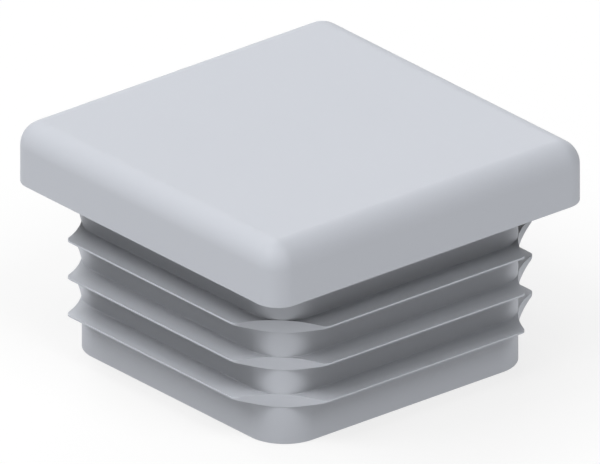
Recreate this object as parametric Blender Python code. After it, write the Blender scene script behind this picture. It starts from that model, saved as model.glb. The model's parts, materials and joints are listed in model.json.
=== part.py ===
"""Square tube end cap, moulded in one piece of plastic.

A flat square head with rounded edges covers the end of the tube. Under it a hollow
square shank, open at the bottom, goes into the tube. Three thin ribs round the shank
bend as the cap is pushed in, and grip the wall of the tube. Each rib is flat on top and
slopes back to the shank underneath. A round cut at each corner of the shank parts
the rib, so that each side's blade can bend by itself.

Metres, +Z up. The origin is in the middle of the shank's open bottom end.
"""

from math import atan2, cos, hypot, pi, radians, sin, sqrt

import bmesh
import bpy

# Head, which stays outside the tube and is as wide as the tube.
HEAD_SIDE = 0.0400
HEAD_HEIGHT = 0.00633
HEAD_CORNER_RADIUS = 0.0025
HEAD_EDGE_RADIUS = 0.0025

# Shank, which goes into the tube. The step from the head to it covers the tube's end.
SHOULDER_WIDTH = 0.00375
SHANK_LENGTH = 0.01735
SHANK_CORNER_RADIUS = 0.0042
SHANK_WALL = 0.0020

# Hollow in the shank. It reaches up into the head and leaves a skin there.
HEAD_SKIN = 0.0030
HOLLOW_EDGE_RADIUS = 0.0010

# Ribs, counted down from the head. The drop and the pitch are measured to their flat tops.
# There are as many as leave the shank its plain end, which finds the tube's mouth.
FIRST_RIB_DROP = 0.00407
RIB_PITCH = 0.00398
RIB_REACH = 0.00279
RIB_LIP_HEIGHT = 0.00026
RIB_ROOT_HEIGHT = 0.00138
RIB_TIP_RADIUS = 0.00086
PLAIN_END = 0.0035

# Round cut that parts the ribs at each corner. It stops just clear of the shank.
CORNER_CUT_RADIUS = 0.0095
CORNER_CUT_CLEARANCE = 0.00003

# Facets.
TIP_STEPS = 4
CUT_STEPS = 9
EDGE_STEPS = 8
HOLLOW_EDGE_STEPS = 4
SMOOTH_ANGLE = radians(24)

# Light blue-grey plastic with an even, dull surface.
PLASTIC_COLOUR = (0.62, 0.64, 0.69, 1.0)
PLASTIC_ROUGHNESS = 0.48

HALF_CORNER = pi / 4
HEAD_HALF = HEAD_SIDE / 2
SHANK_HALF = HEAD_HALF - SHOULDER_WIDTH
HEAD_TOP = SHANK_LENGTH + HEAD_HEIGHT
MERGE_DISTANCE = 1e-6


def round_all_corners(half_corner):
    """Mirror half a corner over the square's diagonal, and repeat it at all four corners."""
    corner = half_corner + [(y, x) for x, y in reversed(half_corner[:-1])]
    outline = []
    for _ in range(4):
        outline.extend(corner)
        corner = [(y, -x) for x, y in corner]
    return outline


def rounded_square(half_side, corner_radius):
    """Outline of a square with round corners, which turn sharp at a radius of nothing."""
    corner_radius = max(corner_radius, 0.0)
    centre = half_side - corner_radius
    steps = TIP_STEPS + CUT_STEPS
    half_corner = []
    for step in range(steps + 1):
        angle = HALF_CORNER * step / steps
        half_corner.append((centre + corner_radius * sin(angle), centre + corner_radius * cos(angle)))
    return round_all_corners(half_corner)


def rib_outline():
    """Outline of a rib: straight lips, a round tip at each end, a round cut at each corner."""
    lip = SHANK_HALF + RIB_REACH
    shank_diagonal = SHANK_HALF * sqrt(2) - SHANK_CORNER_RADIUS * (sqrt(2) - 1)
    cut_centre = (shank_diagonal + CORNER_CUT_CLEARANCE + CORNER_CUT_RADIUS) / sqrt(2)

    # The tip's circle touches both the lip and the circle of the cut.
    tip_y = lip - RIB_TIP_RADIUS
    between_centres = CORNER_CUT_RADIUS + RIB_TIP_RADIUS
    tip_x = cut_centre - sqrt(between_centres**2 - (cut_centre - tip_y)**2)
    tip_turn = atan2(cut_centre - tip_x, cut_centre - tip_y)

    half_corner = []
    for step in range(TIP_STEPS):
        angle = tip_turn * step / TIP_STEPS
        half_corner.append((tip_x + RIB_TIP_RADIUS * sin(angle), tip_y + RIB_TIP_RADIUS * cos(angle)))
    for step in range(CUT_STEPS + 1):
        angle = tip_turn + (HALF_CORNER - tip_turn) * step / CUT_STEPS
        x = cut_centre - CORNER_CUT_RADIUS * sin(angle)
        y = cut_centre - CORNER_CUT_RADIUS * cos(angle)
        half_corner.append((x, y))
    return round_all_corners(half_corner)


def nearest_on_shank(point):
    """The point of the shank's outer wall nearest to a point outside it."""
    centre = SHANK_HALF - SHANK_CORNER_RADIUS
    beyond = [max(abs(value) - centre, 0.0) for value in point]
    scale = SHANK_CORNER_RADIUS / hypot(*beyond)
    nearest = []
    for value, past_centre in zip(point, beyond):
        if past_centre:
            nearest.append((centre + past_centre * scale) * (1 if value > 0 else -1))
        else:
            nearest.append(value)
    return tuple(nearest)


def level(outline, height):
    """One ring of the skin: an outline laid flat at a height."""
    return [(x, y, height) for x, y in outline]


def hollow_rings():
    """The hollow, from the middle of its ceiling down to the open end."""
    half_side = SHANK_HALF - SHANK_WALL
    corner_radius = SHANK_CORNER_RADIUS - SHANK_WALL
    ceiling = HEAD_TOP - HEAD_SKIN
    rings = []
    for step in range(HOLLOW_EDGE_STEPS + 1):
        angle = pi / 2 * step / HOLLOW_EDGE_STEPS
        inset = HOLLOW_EDGE_RADIUS * (1 - sin(angle))
        drop = HOLLOW_EDGE_RADIUS * (1 - cos(angle))
        rings.append(level(rounded_square(half_side - inset, corner_radius - inset), ceiling - drop))
    rings.append(level(rounded_square(half_side, corner_radius), 0.0))
    return rings


def rib_rings(rib, wall):
    """One rib's rings, from its root at the bottom to where its flat top meets the shank."""
    top = SHANK_LENGTH - FIRST_RIB_DROP - RIB_PITCH * rib
    root = top - RIB_ROOT_HEIGHT
    slope = (RIB_ROOT_HEIGHT - RIB_LIP_HEIGHT) / RIB_REACH
    edge = rib_outline()
    lower_edge = []
    for (x, y), foot in zip(edge, wall):
        lower_edge.append((x, y, root + slope * hypot(x - foot[0], y - foot[1])))
    return [level(wall, root), lower_edge, level(edge, top), level(wall, top)]


def shank_rings():
    """The shank's outside with its ribs, from the open end up to the head."""
    wall = [nearest_on_shank(point) for point in rib_outline()]
    rings = [level(wall, 0.0)]
    lowest_top = PLAIN_END + RIB_ROOT_HEIGHT
    rib_count = 1 + int((SHANK_LENGTH - FIRST_RIB_DROP - lowest_top) / RIB_PITCH)
    for rib in reversed(range(rib_count)):
        rings.extend(rib_rings(rib, wall))
    rings.append(level(wall, SHANK_LENGTH))
    return rings


def head_rings():
    """The head, from its sharp lower edge to the inside of its rounded upper edge."""
    rings = [level(rounded_square(HEAD_HALF, HEAD_CORNER_RADIUS), SHANK_LENGTH)]
    for step in range(EDGE_STEPS + 1):
        angle = pi / 2 * step / EDGE_STEPS
        inset = HEAD_EDGE_RADIUS * (1 - cos(angle))
        height = HEAD_TOP - HEAD_EDGE_RADIUS * (1 - sin(angle))
        rings.append(level(rounded_square(HEAD_HALF - inset, HEAD_CORNER_RADIUS - inset), height))
    return rings


def skin(rings):
    """One closed skin: each ring joined to the next, and the first and the last filled."""
    bm = bmesh.new()
    loops = [[bm.verts.new(point) for point in ring] for ring in rings]
    for loop, following in zip(loops, loops[1:]):
        for index in range(len(loop)):
            bm.faces.new((loop[index - 1], loop[index], following[index], following[index - 1]))
    bm.faces.new(loops[0])
    bm.faces.new(loops[-1])
    bmesh.ops.remove_doubles(bm, verts=bm.verts, dist=MERGE_DISTANCE)
    bmesh.ops.recalc_face_normals(bm, faces=bm.faces)
    mesh = bpy.data.meshes.new("end_cap")
    bm.to_mesh(mesh)
    bm.free()
    return mesh


def plastic():
    """The cap's material."""
    material = bpy.data.materials.new("light_grey_plastic")
    material.use_nodes = True
    shader = material.node_tree.nodes["Principled BSDF"]
    shader.inputs["Base Color"].default_value = PLASTIC_COLOUR
    shader.inputs["Roughness"].default_value = PLASTIC_ROUGHNESS
    shader.inputs["Metallic"].default_value = 0.0
    return material


def end_cap():
    """The whole cap, as one solid."""
    mesh = skin(hollow_rings() + shank_rings() + head_rings())
    mesh.materials.append(plastic())
    mesh.shade_smooth()
    mesh.set_sharp_from_angle(angle=SMOOTH_ANGLE)
    cap = bpy.data.objects.new("end_cap", mesh)
    bpy.context.scene.collection.objects.link(cap)
    evened = cap.modifiers.new("even_shading", "WEIGHTED_NORMAL")
    evened.keep_sharp = True
    return cap


for old in list(bpy.data.objects):
    bpy.data.objects.remove(old)
end_cap()
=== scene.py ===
"""Square tube end cap, light grey plastic, on a plain white floor. Metres, +Z up."""

import json
from math import atan2, pi, radians, sqrt

import bmesh
import bpy
from mathutils import Euler, Matrix, Vector


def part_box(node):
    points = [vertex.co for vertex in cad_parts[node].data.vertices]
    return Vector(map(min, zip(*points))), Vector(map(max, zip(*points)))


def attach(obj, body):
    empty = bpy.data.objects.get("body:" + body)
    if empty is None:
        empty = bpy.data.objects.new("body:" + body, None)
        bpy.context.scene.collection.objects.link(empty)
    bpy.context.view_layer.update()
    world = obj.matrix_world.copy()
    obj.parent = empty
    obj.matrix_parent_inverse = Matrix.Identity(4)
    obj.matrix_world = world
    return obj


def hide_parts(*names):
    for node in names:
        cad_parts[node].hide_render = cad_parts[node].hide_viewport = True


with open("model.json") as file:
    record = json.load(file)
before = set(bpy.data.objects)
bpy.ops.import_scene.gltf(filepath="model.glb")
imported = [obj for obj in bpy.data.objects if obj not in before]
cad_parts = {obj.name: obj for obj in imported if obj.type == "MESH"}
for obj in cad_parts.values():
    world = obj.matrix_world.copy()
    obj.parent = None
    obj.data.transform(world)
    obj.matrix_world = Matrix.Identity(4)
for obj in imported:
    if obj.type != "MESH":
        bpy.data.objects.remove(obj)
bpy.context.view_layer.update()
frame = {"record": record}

# Camera. The picture is a parallel projection, taken from above the corner between the sides
# that look along +X and -Y, and turned a little towards the latter.
PICTURE_WIDTH = 600
PICTURE_HEIGHT = 464
PIXELS_PER_METRE = 10307.5
CAMERA_ROUND = radians(50.01)
CAMERA_ABOVE = radians(25.03)
CAMERA_AWAY = 0.30
CAMERA_SEES_FROM = 0.01
CAMERA_SEES_TO = 10
# Where the middle of the head's underside would show in the picture, from its left and top.
SHOULDER_PIXEL = (300.05, 189.73)

mounts = {mount["name"]: mount for mount in frame["record"]["mounts"]}
shoulder = mounts["shoulder"]["pos_m"][2]

camera_turn = Euler((pi / 2 - CAMERA_ABOVE, 0, CAMERA_ROUND)).to_matrix()
camera_right, camera_up, camera_back = camera_turn.transposed()
looked_at = Vector((0, 0, shoulder))
looked_at += camera_right * (PICTURE_WIDTH / 2 - SHOULDER_PIXEL[0]) / PIXELS_PER_METRE
looked_at -= camera_up * (PICTURE_HEIGHT / 2 - SHOULDER_PIXEL[1]) / PIXELS_PER_METRE

camera_data = bpy.data.cameras.new("camera")
camera_data.type = "ORTHO"
camera_data.ortho_scale = PICTURE_WIDTH / PIXELS_PER_METRE
camera_data.clip_start = CAMERA_SEES_FROM
camera_data.clip_end = CAMERA_SEES_TO
camera = bpy.data.objects.new("camera", camera_data)
camera.location = looked_at + camera_back * CAMERA_AWAY
camera.rotation_euler = camera_turn.to_euler()
bpy.context.scene.collection.objects.link(camera)
bpy.context.scene.camera = camera

# The cap's head. It stays outside the tube and is as wide as the tube, with its top edges and
# its upright corners rounded alike. The sharp edges of the moulding are eased a little.
HEAD_ROUNDING = 0.0025
HEAD_SEGMENTS = 20
MOULDED_EDGE = 0.00003
EDGE_SEGMENTS = 4

lowest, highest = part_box("end_cap")
open_end = lowest.z
head_half = highest.x
head_top = highest.z


def lowest_face(shape):
    """The face of a shape that lies lowest."""
    return min(shape.faces, key=lambda face: face.calc_center_median().z)


def round_edges(shape, edges, radius, segments):
    """Round edges of a shape to a radius."""
    bmesh.ops.bevel(
        shape, geom=edges, offset=radius, offset_type="OFFSET", segments=segments,
        profile=0.5, affect="EDGES", material=-1,
    )


def block(shape, half, floor, ceiling):
    """Add a square block, centred over the origin, and return its edges."""
    place = Vector((0, 0, (floor + ceiling) / 2))
    size = Vector((2 * half, 2 * half, ceiling - floor))
    stretch = Matrix.LocRotScale(place, None, size)
    corners = bmesh.ops.create_cube(shape, size=1.0, matrix=stretch)["verts"]
    return [edge for edge in shape.edges if edge.verts[0] in corners]


cap = bmesh.new()
head_edges = block(cap, head_half, shoulder, head_top)
lower_edges = lowest_face(cap).edges[:]
rounded = [edge for edge in head_edges if edge not in lower_edges]
round_edges(cap, rounded, HEAD_ROUNDING, HEAD_SEGMENTS)
round_edges(cap, lowest_face(cap).edges[:], MOULDED_EDGE, EDGE_SEGMENTS)
bmesh.ops.delete(cap, geom=[lowest_face(cap)], context="FACES_ONLY")

# The shank and its three ribs, in one with the head. Each rib's top falls slightly towards a
# thin upright lip, and its underside slopes back to the shank. Its blades are rounded at their
# ends and parted at each corner of the shank by a round cut, which just clears the corner.
SHOULDER_WIDTH = 0.00375
SHANK_ROUNDING = 0.0042
FIRST_RIB_DROP = 0.00407
RIB_PITCH = 0.00398
RIB_COUNT = 3
RIB_REACH = 0.00279
RIB_LIP_HEIGHT = 0.000185
RIB_ROOT_HEIGHT = 0.00138
RIB_TOP_FALL = 0.00005
BLADE_END_RADIUS = 0.00086
CORNER_CUT_RADIUS = 0.0095
CORNER_CUT_CLEARANCE = 0.00003
BLADE_END_STEPS = 16
CORNER_CUT_STEPS = 40
# A lip is eased, and a valley filled, by these radii, or by these shares of a shorter reach.
LIP_EASING = 0.000025
LIP_SHARE = 1 / 4
FILLET = 0.00008
FILLET_SHARE = 1 / 2
EASING_STEPS = 4
MERGED = 1e-6

shank_half = head_half - SHOULDER_WIDTH
arc_centre = shank_half - SHANK_ROUNDING
lip = shank_half + RIB_REACH
shank_diagonal = shank_half * sqrt(2) - SHANK_ROUNDING * (sqrt(2) - 1)
cut_centre = (shank_diagonal + CORNER_CUT_CLEARANCE + CORNER_CUT_RADIUS) / sqrt(2)
# The circle at a blade's end touches both its lip and the circle of the cut.
end_y = lip - BLADE_END_RADIUS
end_x = cut_centre - sqrt((CORNER_CUT_RADIUS + BLADE_END_RADIUS) ** 2 - (cut_centre - end_y) ** 2)
end_turn = atan2(cut_centre - end_x, cut_centre - end_y)

# An eighth of the blades' outline is drawn, from the middle of a lip round the blade's end to
# the middle of the corner's cut, and mirrored into the whole of it.
pen = bmesh.ops.create_vert(cap, co=(0, lip, 0))["vert"]
pen = bmesh.ops.extrude_vert_indiv(cap, verts=pen)["verts"]
bmesh.ops.translate(cap, verts=pen, vec=(end_x, 0, 0))
pen = bmesh.ops.spin(
    cap, geom=pen, cent=(end_x, end_y, 0), axis=(0, 0, -1), angle=end_turn, steps=BLADE_END_STEPS,
)["geom_last"]
bmesh.ops.spin(
    cap, geom=pen, cent=(cut_centre, cut_centre, 0), axis=(0, 0, 1), angle=end_turn - pi / 4,
    steps=CORNER_CUT_STEPS,
)
for turn, across in ((pi / 4, "Y"), (0, "X"), (0, "Y")):
    drawn = [vert for vert in cap.verts if not vert.link_faces]
    lines = [edge for edge in cap.edges if not edge.link_faces]
    bmesh.ops.mirror(cap, geom=drawn + lines, matrix=Matrix.Rotation(turn, 4, "Z"), axis=across)
    drawn = [vert for vert in cap.verts if not vert.link_faces]
    bmesh.ops.remove_doubles(cap, verts=drawn, dist=MERGED)

# Each point of a ring remembers the point of the blades' outline that it belongs to.
blade_edge = cap.verts.layers.float_vector.new("blade_edge")
for vert in cap.verts:
    vert[blade_edge] = vert.co


def eased(before, corner, after):
    """Round one corner of a slice, from a point before it to a point after it."""
    points = []
    for step in range(EASING_STEPS + 1):
        share = step / EASING_STEPS
        points.append(before.lerp(corner, share).lerp(corner.lerp(after, share), share))
    return points


def rib_slice(reach, rib):
    """A slice through a rib that reaches so far out: distances from the wall, and heights."""
    top = shoulder - FIRST_RIB_DROP - RIB_PITCH * rib
    fall = RIB_TOP_FALL / RIB_REACH
    slope = (RIB_ROOT_HEIGHT - RIB_LIP_HEIGHT - RIB_TOP_FALL) / RIB_REACH
    easing = min(LIP_EASING, reach * LIP_SHARE)
    fillet = min(FILLET, reach * FILLET_SHARE)
    root = Vector((0, top - RIB_ROOT_HEIGHT))
    outwards = Vector((1, slope))
    underside = root + reach * outwards
    inwards = Vector((-1, fall))
    valley = Vector((0, top))
    edge = valley - reach * inwards
    upwards = Vector((0, 1))
    points = eased(root - fillet * upwards, root, root + fillet * outwards)
    points += eased(underside - easing * outwards, underside, underside + easing * upwards)
    points += eased(edge - easing * upwards, edge, edge + easing * inwards)
    points += eased(valley - fillet * inwards, valley, valley + fillet * upwards)
    return points


def shank_slice(reach):
    """A slice through the shank's skin, from its open end up to the head."""
    rim = Vector((0, open_end))
    neck = Vector((0, shoulder))
    points = eased(rim + Vector((-MOULDED_EDGE, 0)), rim, rim + Vector((0, MOULDED_EDGE)))
    for rib in reversed(range(RIB_COUNT)):
        points += rib_slice(reach, rib)
    points += eased(neck - Vector((0, FILLET)), neck, neck + Vector((FILLET, 0)))
    return points


# The outline is extruded ring by ring up the slice. Each point of a ring lies straight out from
# the shank's wall, as far as the slice says.
ring_verts = [vert for vert in cap.verts if not vert.link_faces]
ring_edges = [edge for edge in cap.edges if not edge.link_faces]
for ring in range(len(shank_slice(RIB_REACH))):
    if ring:
        grown = bmesh.ops.extrude_edge_only(cap, edges=ring_edges)["geom"]
        ring_verts = [item for item in grown if isinstance(item, bmesh.types.BMVert)]
        ring_edges = [item for item in grown if isinstance(item, bmesh.types.BMEdge)]
    for vert in ring_verts:
        edge = vert[blade_edge].xy
        held = Vector((max(-arc_centre, min(arc_centre, value)) for value in edge))
        outwards = (edge - held).normalized()
        reach = (edge - held).length - SHANK_ROUNDING
        out, height = shank_slice(reach)[ring]
        vert.co = (held + outwards * (SHANK_ROUNDING + out)).to_3d() + Vector((0, 0, height))

# The hollow, left by the core that was drawn out of the open end. The real one isn't seen, and
# its wall and the skin over it are those that such caps have.
SHANK_WALL = 0.0020
HEAD_SKIN = 0.0030
HOLLOW_ROUNDING = 0.0010
HOLLOW_SEGMENTS = 10

hollow_top = head_top - HEAD_SKIN
hollow_edges = block(cap, shank_half - SHANK_WALL, open_end, hollow_top)
upright = [edge for edge in hollow_edges if abs(edge.verts[0].co.z - edge.verts[1].co.z) > MERGED]
round_edges(cap, upright, SHANK_ROUNDING - SHANK_WALL, HOLLOW_SEGMENTS)
hollow_ceiling = max(
    (face for face in cap.faces if face.calc_center_median().z < hollow_top + MERGED),
    key=lambda face: face.calc_center_median().z,
)
round_edges(cap, hollow_ceiling.edges[:], HOLLOW_ROUNDING, HOLLOW_SEGMENTS)
bmesh.ops.delete(cap, geom=[lowest_face(cap)], context="FACES_ONLY")

# The whole moulding. Its skin is closed at the head's underside and at the open end's rim, and
# it is shaded smooth wherever it doesn't turn by more than the crease angle.
CREASE_ANGLE = radians(32)

for height in (shoulder, open_end):
    rims = [
        edge for edge in cap.edges
        if edge.is_boundary and all(abs(vert.co.z - height) < MERGED for vert in edge.verts)
    ]
    bmesh.ops.triangle_fill(cap, edges=rims, use_beauty=True)
bmesh.ops.recalc_face_normals(cap, faces=cap.faces)

cap_mesh = bpy.data.meshes.new("moulded_cap")
cap.to_mesh(cap_mesh)
cap.free()
cap_mesh.shade_smooth()
cap_mesh.set_sharp_from_angle(angle=CREASE_ANGLE)
moulded_cap = bpy.data.objects.new("moulded_cap", cap_mesh)
bpy.context.scene.collection.objects.link(moulded_cap)
evened = moulded_cap.modifiers.new("even_shading", "WEIGHTED_NORMAL")
evened.keep_sharp = True

# The cap's plastic, light grey and coloured right through. The mould has left a fine, dull
# grain on it, and it has a hardly visible cloudiness.
PALE = (0.616, 0.640, 0.694, 1)
DEEP = (0.604, 0.628, 0.682, 1)
CLOUDS_PER_METRE = 60
CLOUD_LAYERS = 3
PATCHES_PER_METRE = 900
PATCH_LAYERS = 2
LEAST_DULL = 0.46
MOST_DULL = 0.54
SHEEN = 0.3
GRAINS_PER_METRE = 7000
GRAIN_LAYERS = 2
GRAIN_HEIGHT = 0.000004

grey_plastic = bpy.data.materials.new("light_grey_plastic")
grey_plastic.use_nodes = True
nodes = grey_plastic.node_tree.nodes
links = grey_plastic.node_tree.links
plastic = nodes["Principled BSDF"]
plastic.inputs["Specular IOR Level"].default_value = SHEEN
place = nodes.new("ShaderNodeTexCoord")


def noise(waves_per_metre, layers):
    """Noise over the plastic, of so many waves to the metre and so many finer layers."""
    texture = nodes.new("ShaderNodeTexNoise")
    texture.inputs["Scale"].default_value = waves_per_metre
    texture.inputs["Detail"].default_value = layers
    links.new(place.outputs["Object"], texture.inputs["Vector"])
    return texture.outputs["Fac"]


cloudiness = nodes.new("ShaderNodeMix")
cloudiness.data_type = "RGBA"
cloudiness.inputs["A"].default_value = DEEP
cloudiness.inputs["B"].default_value = PALE
links.new(noise(CLOUDS_PER_METRE, CLOUD_LAYERS), cloudiness.inputs["Factor"])
links.new(cloudiness.outputs["Result"], plastic.inputs["Base Color"])
dullness = nodes.new("ShaderNodeMapRange")
dullness.inputs["To Min"].default_value = LEAST_DULL
dullness.inputs["To Max"].default_value = MOST_DULL
links.new(noise(PATCHES_PER_METRE, PATCH_LAYERS), dullness.inputs["Value"])
links.new(dullness.outputs["Result"], plastic.inputs["Roughness"])
grain = nodes.new("ShaderNodeBump")
grain.inputs["Distance"].default_value = GRAIN_HEIGHT
links.new(noise(GRAINS_PER_METRE, GRAIN_LAYERS), grain.inputs["Height"])
links.new(grain.outputs["Normal"], plastic.inputs["Normal"])
cap_mesh.materials.append(grey_plastic)

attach(moulded_cap, "root")
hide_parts("end_cap")

# The floor, a white light table, which takes the cap's soft shadow. It glows on the cap from
# below, less at the cap's foot, and that light isn't passed on from face to face. From below
# the floor can be seen through, so that the underside shows.
FLOOR_HALF = 1.0
FLOOR_GAP = 0.00002
WHITE = (1, 1, 1, 1)
SHADOW_DEPTH = 0.25
# A little over white, because the share that takes the shadow is lit to a little under it.
TABLE_WHITE = 1.03
# The glow is lower at the cap's foot: a painted shadow of the cap on the table.
FOOT_GLOW = 0.58
TABLE_GLOW = 0.79
FOOT_GLOW_TO = 0.020
TABLE_GLOW_FROM = 0.034
# Rays from the camera, and from the faces that it sees, are less deep than this.
STRAIGHT_RAY = 1.5

floor_shape = bmesh.new()
under_cap = Matrix.Translation((0, 0, open_end - FLOOR_GAP))
bmesh.ops.create_grid(floor_shape, x_segments=1, y_segments=1, size=FLOOR_HALF, matrix=under_cap)
floor_mesh = bpy.data.meshes.new("floor")
floor_shape.to_mesh(floor_mesh)
floor_shape.free()
floor = bpy.data.objects.new("floor", floor_mesh)
bpy.context.scene.collection.objects.link(floor)

table = bpy.data.materials.new("white_light_table")
table.use_nodes = True
nodes = table.node_tree.nodes
links = table.node_tree.links
surface = nodes["Material Output"].inputs["Surface"]
nodes.remove(nodes["Principled BSDF"])
ray = nodes.new("ShaderNodeLightPath")
side = nodes.new("ShaderNodeNewGeometry")
shaded = nodes.new("ShaderNodeBsdfDiffuse")
shaded.inputs["Color"].default_value = WHITE
white = nodes.new("ShaderNodeEmission")
white.inputs["Strength"].default_value = TABLE_WHITE
unseen = nodes.new("ShaderNodeBsdfTransparent")

glow = nodes.new("ShaderNodeEmission")
straight = nodes.new("ShaderNodeMath")
straight.operation = "LESS_THAN"
straight.inputs[1].default_value = STRAIGHT_RAY
links.new(ray.outputs["Ray Depth"], straight.inputs[0])
place = nodes.new("ShaderNodeTexCoord")
from_cap = nodes.new("ShaderNodeVectorMath")
from_cap.operation = "LENGTH"
links.new(place.outputs["Object"], from_cap.inputs[0])
foot = nodes.new("ShaderNodeMapRange")
foot.inputs["From Min"].default_value = FOOT_GLOW_TO
foot.inputs["From Max"].default_value = TABLE_GLOW_FROM
foot.inputs["To Min"].default_value = FOOT_GLOW
foot.inputs["To Max"].default_value = TABLE_GLOW
links.new(from_cap.outputs["Value"], foot.inputs["Value"])
glow_strength = nodes.new("ShaderNodeMath")
glow_strength.operation = "MULTIPLY"
links.new(straight.outputs["Value"], glow_strength.inputs[0])
links.new(foot.outputs["Result"], glow_strength.inputs[1])
links.new(glow_strength.outputs["Value"], glow.inputs["Strength"])


def mixed(share, first, second):
    """A mix of two shaders, by a number or by what a node says."""
    mix = nodes.new("ShaderNodeMixShader")
    if isinstance(share, float):
        mix.inputs["Fac"].default_value = share
    else:
        links.new(share, mix.inputs["Fac"])
    links.new(first, mix.inputs[1])
    links.new(second, mix.inputs[2])
    return mix.outputs["Shader"]


shown = mixed(SHADOW_DEPTH, white.outputs["Emission"], shaded.outputs["BSDF"])
shown = mixed(side.outputs["Backfacing"], shown, unseen.outputs["BSDF"])
links.new(mixed(ray.outputs["Is Camera Ray"], glow.outputs["Emission"], shown), surface)
floor_mesh.materials.append(table)

# The studio. It is white all round to the camera and in reflections, and is lit by soft lamps
# above, whose light isn't passed on from face to face. Each lamp has its name, the way that it
# lies round from +X, its height above the horizon, and its light on a face square to it.
LAMPS = (
    ("right", 0, 50, 0.295),
    ("back_left", 150, 30, 0.13),
    ("left", 180, 50, 0.15),
    ("front_left", 240, 50, 0.29),
    ("front", 270, 50, 0.165),
    ("front_high", 300, 70, 0.15),
    ("front_low", 300, 30, 0.05),
)
LAMP_SPREAD = radians(30)

studio = bpy.data.worlds.new("studio")
bpy.context.scene.world = studio
studio.use_nodes = True
nodes = studio.node_tree.nodes
links = studio.node_tree.links
background = nodes["Background"]
background.inputs["Color"].default_value = WHITE
ray = nodes.new("ShaderNodeLightPath")
either = nodes.new("ShaderNodeMath")
either.operation = "MAXIMUM"
links.new(ray.outputs["Is Camera Ray"], either.inputs[0])
links.new(ray.outputs["Is Glossy Ray"], either.inputs[1])
any_of_them = nodes.new("ShaderNodeMath")
any_of_them.operation = "MAXIMUM"
links.new(either.outputs["Value"], any_of_them.inputs[0])
links.new(ray.outputs["Is Transmission Ray"], any_of_them.inputs[1])
links.new(any_of_them.outputs["Value"], background.inputs["Strength"])

# A lamp of strength pi shows the colour of a face square to it as it is written.
for name, azimuth, elevation, light in LAMPS:
    data = bpy.data.lights.new(name, "SUN")
    data.energy = light * pi
    data.angle = LAMP_SPREAD
    data.cycles.max_bounces = 0
    data.cycles.use_multiple_importance_sampling = False
    lamp = bpy.data.objects.new(name, data)
    lamp.rotation_euler = (0, pi / 2 - radians(elevation), radians(azimuth))
    bpy.context.scene.collection.objects.link(lamp)

bpy.context.scene.view_settings.view_transform = "Standard"
